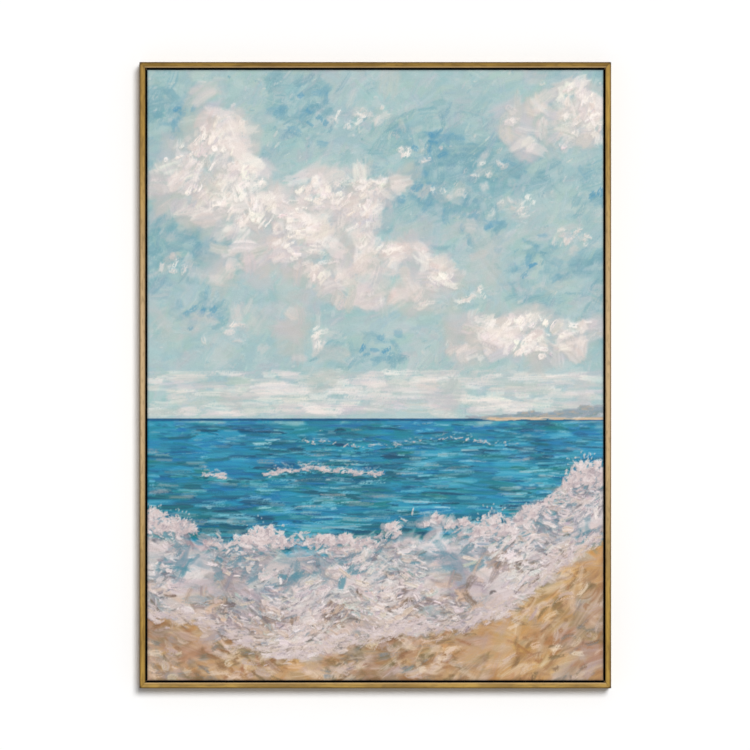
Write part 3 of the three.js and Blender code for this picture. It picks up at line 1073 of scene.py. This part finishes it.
lay_surf(surf_area, 78, 1300, surf_shares(1.7, 0.4, 0.3), long=(6, 36), wide=(3, 12), spread=0.4,
         bend=0.7, turn=3, cover=0.9, fade=0.25, busier=0.47, load=0.9, rim=1.2, dry=0.25, taper=0.2)
lay_surf(below_crest, 79, 700, surf_darks_and_crevice_shade, long=(3, 16), wide=(1.4, 3.2), spread=0.35, bend=0.7, turn=4,
         cover=0.8, fade=0.15, busier=0.5, load=0.1, ground=0.6, dry=0.25)
lay_surf(surf_area, 80, 900, always(white=1, pink=0.4), long=(3, 18), wide=(1.8, 4.6), spread=0.5,
         bend=0.7, turn=4, cover=0.95, fade=0.4, busier=0.49, load=1.3, ground=0.9, rim=0.7, dry=0.2)
report("foam of the surf")

# %% [markdown]
# Where the surf meets the sea it is thrown up into lumps of spray, white on top and cooler at their
# feet, with a few drops above them. Where it meets the sand it thins out to a lace of foam.

# %% Throw up the spray
SPRAY_HEADS = 22
rng = np.random.default_rng(81)
for _ in range(SPRAY_HEADS):
    across = rng.random()
    radius = 7 + 30 * rng.random() ** 3
    head_x, crest_z = on_canvas(across, surf_area(across)[1])
    head_z = crest_z - radius * 0.3
    for _ in range(int(5 + radius * 3)):
        turn, out = rng.uniform(-0.3, math.pi + 0.3), radius * math.sqrt(rng.random())
        x, z = head_x + out * math.cos(turn), head_z + out * math.sin(turn) * 0.9
        shade = 1 - out / radius * math.sin(turn)
        shares = {"white": 1.1 - 0.9 * shade, "pink": 0.5, "lilac": 0.6 * shade, "blue": 0.25 * shade,
                  "mauve": 0.2 * shade}
        dab(rng, x, z, turn + rng.normal(0, 1.1), SURF, shares, "pink", long=(5, 20), wide=(3, 10),
            bend=0.3, load=1.5, ground=1.0, rim=0.8, ragged=0.6, dry=0.2, taper=0.3)
    for _ in range(int(radius * rng.uniform(0.2, 1))):
        turn, out = rng.normal(math.pi / 2, 0.6), radius * rng.uniform(0.8, 1.4)
        dab(rng, head_x + out * math.cos(turn), head_z + out * math.sin(turn), turn, SURF, "pink",
            "white", long=(1.6, 6), wide=(1.4, 2.6), load=1.1, ground=0.8)
report("spray")

# %% Fringe the crest
CREST_SHARES = {"white": 0.5, "pink": 0.5, "lilac": 0.25, "blue": 0.1}
for _ in range(420):
    across = rng.random()
    x, crest_z = on_canvas(across, surf_area(across)[1])
    z = crest_z + rng.normal(-9, 8)
    if look(busy, x, z) > 0.45 + rng.normal(0, 0.05):
        dab(rng, x, z, surf_slope(across) + rng.normal(0.2, 0.7), SURF, CREST_SHARES, "pink",
            long=(6, 24), wide=(3, 9), bend=0.5, load=1.4, ground=1.0, rim=0.8, ragged=0.5, dry=0.2)
report("crest")

# %% Thin out the foam on the sand
FOAM_SHARES = {"white": 0.2, "pink": 0.5, "lilac": 0.35, "cream": 0.4, "umber": 0.08}
for _ in range(560):
    across = rng.random()
    x, shore_z = on_canvas(across, edge_of_surf(SHORE, across))
    z = shore_z + rng.normal(-1, 7) + 7 * abs(math.sin(12 * across))
    dab(rng, x, z, sand_slope(across) + rng.normal(0.05, 0.35), SURF, FOAM_SHARES, "pink",
        long=(10, 36), wide=(3, 9), bend=0.4, load=0.9, ground=0.9, rim=0.5, cover=0.8, ragged=0.55,
        dry=0.4)
report("lace of foam")
print(f"the paint is {sheet.height.min():.2f} to {sheet.height.max():.2f} mm thick")

# %% [markdown]
# A brush seldom fills the last few millimetres of a canvas, so the paint is thinner there. It is
# also darkened there: painted shade along the canvas's edges, next to the gap under the frame.

# %% Ease the paint off at the edges
EDGE_WIDTH = 3.2
THIN_EDGE = 0.45
PAINTED_EDGE_SHADE = 0.74
from_sides = WIDTH / 2 - np.abs(columns)
from_ends = (HEIGHT / 2 - np.abs(rows))[:, None]
full = np.clip(np.minimum(from_sides, from_ends) / EDGE_WIDTH, 0, 1) ** 0.7
sheet.height *= THIN_EDGE + (1 - THIN_EDGE) * full
# Painted shade: the colour darkens towards the canvas's edges.
sheet.colour *= (PAINTED_EDGE_SHADE + (1 - PAINTED_EDGE_SHADE) * full)[..., None]
print(f"edges: {sheet.height[0].mean():.2f} mm of paint along the bottom one")

# %% [markdown]
# ## Turn the sheet into paint
#
# Each passage becomes a closed slab with the relief on its front. A grid's faces are built with numpy,
# which is many times faster than adding them one by one. The shading normals come from the whole
# sheet, so no seam shows where two passages meet.

# %% Build grids
def grid_faces(tall, wide):
    """The corner numbers of a grid's faces, counter-clockwise as seen from -Y."""
    low = (np.arange(tall - 1)[:, None] * wide + np.arange(wide - 1)).ravel()
    return np.stack([low, low + 1, low + wide + 1, low + wide], axis=1)


def grid_rim(tall, wide):
    """The numbers of the points round a grid's edge, in the same turn as its faces."""
    bottom = np.arange(wide - 1)
    right = np.arange(tall - 1) * wide + wide - 1
    top = (tall - 1) * wide + np.arange(wide - 1, 0, -1)
    left = np.arange(tall - 1, 0, -1) * wide
    return np.concatenate([bottom, right, top, left])


def band(first, second):
    """The faces between two rings of points, each given by its points' numbers."""
    return np.stack([first, second, np.roll(second, -1), np.roll(first, -1)], axis=1)


def mesh_of(name, points, quads, triangles=(), smooth=0):
    """A mesh from arrays. Its first faces, as many as smooth says, are shaded smoothly."""
    triangles = np.array(triangles, int).reshape(-1, 3)
    corners = np.concatenate([quads.ravel(), triangles.ravel()])
    sizes = np.concatenate([np.full(len(quads), 4), np.full(len(triangles), 3)])
    mesh = bpy.data.meshes.new(name)
    mesh.vertices.add(len(points))
    mesh.vertices.foreach_set("co", points.ravel())
    mesh.loops.add(len(corners))
    mesh.loops.foreach_set("vertex_index", corners)
    mesh.polygons.add(len(sizes))
    mesh.polygons.foreach_set("loop_start", np.concatenate([[0], np.cumsum(sizes)[:-1]]))
    mesh.update(calc_edges=True)
    mesh.polygons.foreach_set("use_smooth", np.arange(len(sizes)) < smooth)
    print(f"{name}: {2 * len(quads) + len(triangles)} triangles")
    return mesh


# %% Build the passages
slope_z, slope_x = np.gradient(sheet.height, rows, columns)
normals = np.stack([-slope_x, -np.ones(shape), -slope_z], axis=-1)
normals /= np.linalg.norm(normals, axis=-1, keepdims=True)
linear_colour = linear(sheet.colour)


def paint_slab(name, first_row, last_row):
    """A closed slab of paint from some rows of the sheet, with the relief and the colours on it."""
    part = slice(first_row, last_row + 1)
    across, up = np.meshgrid(columns * MM + middle.x, rows[part] * MM + middle.z)
    front = np.stack([across, paint_high.y - sheet.height[part] * MM, up], axis=-1).reshape(-1, 3)
    tall, wide = across.shape
    faces, rim = grid_faces(tall, wide), grid_rim(tall, wide)
    back = front[rim].copy()
    back[:, 1] = paint_high.y
    hub = [[middle.x, paint_high.y, (up[0, 0] + up[-1, 0]) / 2]]
    points = np.concatenate([front, back, hub])
    behind = len(front) + np.arange(len(rim))
    fan = np.stack([np.roll(behind, -1), behind, np.full(len(rim), len(points) - 1)], axis=1)
    mesh = mesh_of(name, points, np.concatenate([faces, band(rim, behind)]), fan, smooth=len(faces))
    loops = np.zeros((len(mesh.loops), 3))
    loops[: faces.size] = normals[part].reshape(-1, 3)[faces.ravel()]
    mesh.normals_split_custom_set(loops)
    colours = np.ones((len(points), 4))
    fronts = linear_colour[part].reshape(-1, 3)
    colours[: len(front), :3] = fronts
    colours[len(front) : -1, :3] = fronts[rim]
    attribute = mesh.attributes.new("oil_colour", "FLOAT_COLOR", "POINT")
    attribute.data.foreach_set("color", colours.ravel())
    return new_piece(name, mesh)


SURF_CUT = 0.3
BEACH_CUT = 0.15
horizon_row = len(rows_below) - 1
surf_row = int(np.searchsorted(rows, on_canvas(0, SURF_CUT)[1]))
beach_row = int(np.searchsorted(rows, on_canvas(0, BEACH_CUT)[1]))
sky_row = (horizon_row + len(rows) - 1) // 2
passages = [
    paint_slab("paint_sky_upper", sky_row, len(rows) - 1),
    paint_slab("paint_sky_lower", horizon_row, sky_row),
    paint_slab("paint_sea", surf_row, horizon_row),
    paint_slab("paint_surf", beach_row, surf_row),
    paint_slab("paint_beach", 0, beach_row),
]

# %% [markdown]
# ## The oil paint
#
# The colour comes from the strokes, through the oil_colour attribute. Fine noise breaks it up below
# the size of a stroke, and a bump adds hair marks. Oil dries to an uneven satin, so the roughness
# wanders.

# %% Make the oil paint
oil = Shader("oil_paint", Specular_IOR_Level=0.25)
laid = oil.node("ShaderNodeAttribute", {"attribute_name": "oil_colour"}, output="Color")
speckle = oil.noise(1.6 * MM, detail=3.0, roughness=0.7)
sheen = oil.noise(22 * MM, detail=3.0)
value = speckle.smooth(0.25, 0.75, 0.93, 1.07)
toned = oil.node("ShaderNodeHueSaturation", sockets={"Value": value, "Color": laid})
hairs = oil.noise(0.9 * MM, (2.4, 1, 1), detail=4.0, roughness=0.6)
satin = sheen.smooth(0.3, 0.7, 0.34, 0.54)
oil.feed(Base_Color=toned, Roughness=satin, Normal=oil.bump(hairs, 0.3 * MM, 0.6))
for piece in passages:
    dress(piece, oil.material)
    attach(piece, "root")
    print(f"{piece.name} is painted")
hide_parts("oil_paint")

# %% [markdown]
# ## The canvas cloth
#
# One piece of cotton duck goes over the front and the sides of the bars and is turned in on their
# backs. It could be a box with a thickness, but a real one bends round the bars' arrises, is folded
# over itself at the corners and was cut a little unevenly. So a profile is swept round the canvas: out
# along the front, round the arrises, in along the back to the cut edge, and back along the inside.

# %% Draw the profile
CLOTH = 0.6
TURN_IN = 30.0
ARRIS = 1.6
INSETS = (5, 9, 13, 16, 18, 20, 22, 24, 26, 28.5)
turn_steps = np.radians(np.linspace(0, 90, 6))
cloth_depth = (canvas_high.y - canvas_low.y) / MM


def wrap(shell):
    """The cloth's path in (inward, back), from the front round to its back, so far inside its face."""
    radius = ARRIS - shell
    sines, cosines = radius * np.sin(turn_steps), radius * np.cos(turn_steps)
    front = zip(ARRIS - sines, ARRIS - cosines)
    back = zip(ARRIS - cosines, cloth_depth - ARRIS + sines)
    return [*front, *back, *((inset, cloth_depth - shell) for inset in INSETS)]


cut_edge = [(TURN_IN, cloth_depth - 0.15), (TURN_IN, cloth_depth - CLOTH + 0.15)]
profile = wrap(0.0) + cut_edge + wrap(CLOTH)[::-1]
print(f"profile of {len(profile)} points, cloth {cloth_depth:.1f} mm deep")

# %% Sweep it round the canvas
FOLD_WIDTH = 17.0
FOLD_FROM = 17.5
FOLD_EDGE = 1.5
CORNER_SPAN = 48.0
CUT_WANDER = 0.7
CUT_WAVES = 90


def places_along(size):
    """Places along a side from -1 to 1, close together near the corners."""
    half = size / 2
    corner = half - CORNER_SPAN * np.linspace(0, 1, 20) ** 1.4
    between = np.linspace(-corner[-1], corner[-1], round(2 * corner[-1] / 14))
    return np.concatenate([-corner, between[1:-1], corner[::-1]]) / half


side_x, side_z = np.meshgrid(places_along(canvas_width), places_along(canvas_height))
tall, wide = side_x.shape
rim = grid_rim(tall, wide)
rng = np.random.default_rng(91)
waves = rng.normal(0, CUT_WANDER, CUT_WAVES)
uneven = np.interp(np.linspace(0, 1, len(rim)), np.linspace(0, 1, CUT_WAVES), waves)
rings = []
for inward, back in profile:
    inset = inward + uneven * min(1, max(0, (inward - 24) / 6))
    x = side_x.ravel()[rim] * (canvas_width / 2 - inset)
    z = side_z.ravel()[rim] * (canvas_height / 2 - inset)
    on_top_or_bottom = np.abs(side_z.ravel()[rim]) == 1
    past_mitre = canvas_width / 2 - np.abs(x) - inset
    fold = np.clip((FOLD_WIDTH - past_mitre) / FOLD_EDGE, 0, 1)
    fold *= np.clip((inset - FOLD_FROM) / FOLD_EDGE, 0, 1)
    raised = CLOTH * fold * on_top_or_bottom if back > cloth_depth - CLOTH / 2 else 0
    rings.append(np.stack([x, back + raised + 0 * x, z], axis=1))

# %% Close the cloth
faces = grid_faces(tall, wide)
face_x = side_x.ravel() * (canvas_width / 2 - ARRIS)
face_z = side_z.ravel() * (canvas_height / 2 - ARRIS)
fronts = [np.stack([face_x, np.full(len(face_x), back), face_z], axis=1) for back in (0.0, CLOTH)]
points = np.concatenate(fronts + rings[1:-1])
first_ring = 2 * tall * wide
numbers = [rim] + [first_ring + k * len(rim) + np.arange(len(rim)) for k in range(len(rings) - 2)]
numbers.append(rim + tall * wide)
sweeps = [band(first, second) for first, second in zip(numbers, numbers[1:])]
quads = np.concatenate([faces, faces[:, ::-1] + tall * wide] + sweeps)
points = points * MM + np.array([middle.x, canvas_low.y, (canvas_low.z + canvas_high.z) / 2])
cloth = new_piece("canvas_cloth", mesh_of("canvas_cloth", points, quads, smooth=len(quads)))

# %% [markdown]
# The bare cloth is unbleached cotton with slubs and a few seed flecks. Its threads are two noises, one
# drawn out along each direction. The sides and the narrow margin in front are painted black.

# %% Weave the cloth
weave = Shader("canvas_cloth", Specular_IOR_Level=0.2)
weft = weave.noise(0.7 * MM, (14, 1, 1), detail=2.0)
warp = weave.noise(0.7 * MM, (1, 1, 14), detail=2.0)
slubs = weave.noise(2.2 * MM, (9, 1, 1), detail=2.0)
flecks = weave.noise(1.7 * MM, detail=1.0)
stains = weave.noise(120 * MM, detail=3.0)
duck = weave.mix((weft + warp).smooth(0.7, 1.3), (196, 180, 148), (230, 219, 195))
duck = weave.mix(slubs.smooth(0.58, 0.72) * 0.4, duck, (232, 225, 208))
duck = weave.mix(stains.smooth(0.45, 0.75) * 0.3, duck, (196, 182, 152))
duck = weave.mix(flecks.smooth(0.73, 0.78) * 0.6, duck, (112, 88, 58))

SIDE_MARGIN = 1.1 * MM
UNPAINTED_BACK = 1.6 * MM
half_width, half_height = canvas_width / 2 * MM, canvas_height / 2 * MM
beside = abs(weave.along(0) - middle.x) > (half_width - SIDE_MARGIN)
above = abs(weave.along(2) - (canvas_low.z + canvas_high.z) / 2) > (half_height - SIDE_MARGIN)
before_back = (weave.along(1) - flecks * 2 * MM) < (canvas_high.y - UNPAINTED_BACK)
painted = ((beside + above) > 0.5) * before_back
duck = weave.mix(painted, duck, (20, 17, 14))
cloth_relief = weave.bump(weft + warp + slubs * 0.6, 0.3 * MM, 0.7)
dress(cloth, weave.feed(Base_Color=duck, Roughness=0.85 + weft * 0.1, Normal=cloth_relief))
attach(cloth, "root")
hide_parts("canvas")
flat_size = [(size + 2 * (cloth_depth + TURN_IN)) * MM for size in (canvas_width, canvas_height)]
print(f"cloth cut to {flat_size[0]:.3f} x {flat_size[1]:.3f} m")

# %% [markdown]
# ## Staples
#
# Staples hold the cloth on the backs of the bars. They repeat along four lines, which is work for
# Geometry Nodes: a line becomes a curve, the curve gives points at a set pitch, and each point gets a
# staple that lies along the line, turned a little as a hand-held gun leaves it.

# %% Shape one staple
CROWN = 10.0
WIRE_WIDTH = 1.2
WIRE_THICKNESS = 0.5


def staple_mesh():
    """A bent wire: its path's outer and inner side, each drawn at both edges of the wire."""
    half = CROWN / 2
    outer = np.array([(-half, -0.5), (-half, 0.1), (0.4 - half, 0.45),
                      (half - 0.4, 0.45), (half, 0.1), (half, -0.5)])
    inner = outer * (1 - WIRE_THICKNESS / half, 1)
    inner[outer[:, 1] > 0.2, 1] -= WIRE_THICKNESS
    half_wire = WIRE_WIDTH / 2
    corners = [(outer, -half_wire), (outer, half_wire), (inner, half_wire), (inner, -half_wire)]
    sections = np.stack([np.insert(path, 2, side, axis=1) for path, side in corners], axis=1)
    numbers = np.arange(sections[..., 0].size).reshape(-1, 4)
    sides = [band(first, second)[:, ::-1] for first, second in zip(numbers, numbers[1:])]
    quads = np.concatenate(sides + [numbers[:1, ::-1], numbers[-1:]])
    return mesh_of("staple", sections.reshape(-1, 3) * MM, quads)


staple = new_piece("staple", staple_mesh())

# %% Draw the four lines
STAPLE_INSET = 23.0
LINE_INSET = 30.0
line_x, line_z = (size / 2 - STAPLE_INSET for size in (canvas_width, canvas_height))
end_x, end_z = line_x - LINE_INSET, line_z - LINE_INSET
ends = [(-end_x, line_z), (end_x, line_z), (-end_x, -line_z), (end_x, -line_z),
        (-line_x, -end_z), (-line_x, end_z), (line_x, -end_z), (line_x, end_z)]
centre_z = (canvas_low.z + canvas_high.z) / 2
line_points = [(middle.x + x * MM, canvas_high.y, centre_z + z * MM) for x, z in ends]
lines = bpy.data.meshes.new("staple_lines")
lines.from_pydata(line_points, [(0, 1), (2, 3), (4, 5), (6, 7)], [])
stapled = new_piece("canvas_staples", lines)
print(f"staple lines {2 * end_x:.0f} and {2 * end_z:.0f} mm long")

# %% Make the staples' steel
steel = Shader("staple_steel", Metallic=1.0)
tarnish = steel.noise(3 * MM, detail=3.0)
steel.feed(Base_Color=steel.mix(tarnish.smooth(0.35, 0.7), (176, 176, 172), (128, 124, 116)),
           Roughness=tarnish.smooth(0.3, 0.7, 0.28, 0.5))

# %% Name the tree's inputs
STAPLE_PITCH = 50 * MM
STAPLE_TURN = math.radians(6)
STAPLE_SEED = 7
tree = bpy.data.node_groups.new("staples_along_lines", "GeometryNodeTree")
inputs = {}
for name, kind, value in (
    ("Lines", "NodeSocketGeometry", None),
    ("Pitch", "NodeSocketFloat", STAPLE_PITCH),
    ("Turn", "NodeSocketFloat", STAPLE_TURN),
    ("Seed", "NodeSocketInt", STAPLE_SEED),
    ("Staple", "NodeSocketObject", staple),
    ("Steel", "NodeSocketMaterial", steel.material),
):
    inputs[tree.interface.new_socket(name, in_out="INPUT", socket_type=kind).identifier] = value
tree.interface.new_socket("Staples", in_out="OUTPUT", socket_type="NodeSocketGeometry")

# %% Join up the tree
group = Nodes(tree)
given = group.node("NodeGroupInput", output="Lines")
curve = group.node("GeometryNodeMeshToCurve", sockets={"Mesh": given})
by_length = {"Curve": curve, "Length": given.out("Pitch")}
dots = group.node("GeometryNodeCurveToPoints", {"mode": "LENGTH"}, by_length, output="Points")
level = {"axis": "X", "pivot_axis": "Y"}
along = group.node("FunctionNodeAlignRotationToVector", level, {"Vector": dots.out("Tangent")})
span = {2: given.out("Turn") * -1.0, 3: given.out("Turn"), "Seed": given.out("Seed")}
turned = group.node("FunctionNodeRandomValue", {"data_type": "FLOAT"}, span, output=1)
axes = group.node("ShaderNodeCombineXYZ", sockets={"Y": turned})
source = group.node("GeometryNodeObjectInfo", sockets={"Object": given.out("Staple")}, output="Geometry")
placed = {"Points": dots, "Instance": source, "Rotation": along}
copies = group.node("GeometryNodeInstanceOnPoints", sockets=placed)
hand_set = group.node("GeometryNodeRotateInstances", sockets={"Instances": copies, "Rotation": axes})
real = group.node("GeometryNodeRealizeInstances", sockets={"Geometry": hand_set})
coat = {"Geometry": real, "Material": given.out("Steel")}
coated = group.node("GeometryNodeSetMaterial", sockets=coat)
group.put(coated, tree.nodes.new("NodeGroupOutput").inputs[0])
print(f"tree of {len(tree.nodes)} nodes")

# %% Staple the cloth down
modifier = stapled.modifiers.new("staples", "NODES")
modifier.node_group = tree
for identifier, value in inputs.items():
    if value is not None:
        modifier[identifier] = value
made = bpy.data.meshes.new_from_object(stapled.evaluated_get(bpy.context.evaluated_depsgraph_get()))
stapled.modifiers.remove(modifier)
stapled.data = made
bpy.data.objects.remove(staple)
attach(stapled, "root")
print(f"staples: {len(made.polygons)} faces")
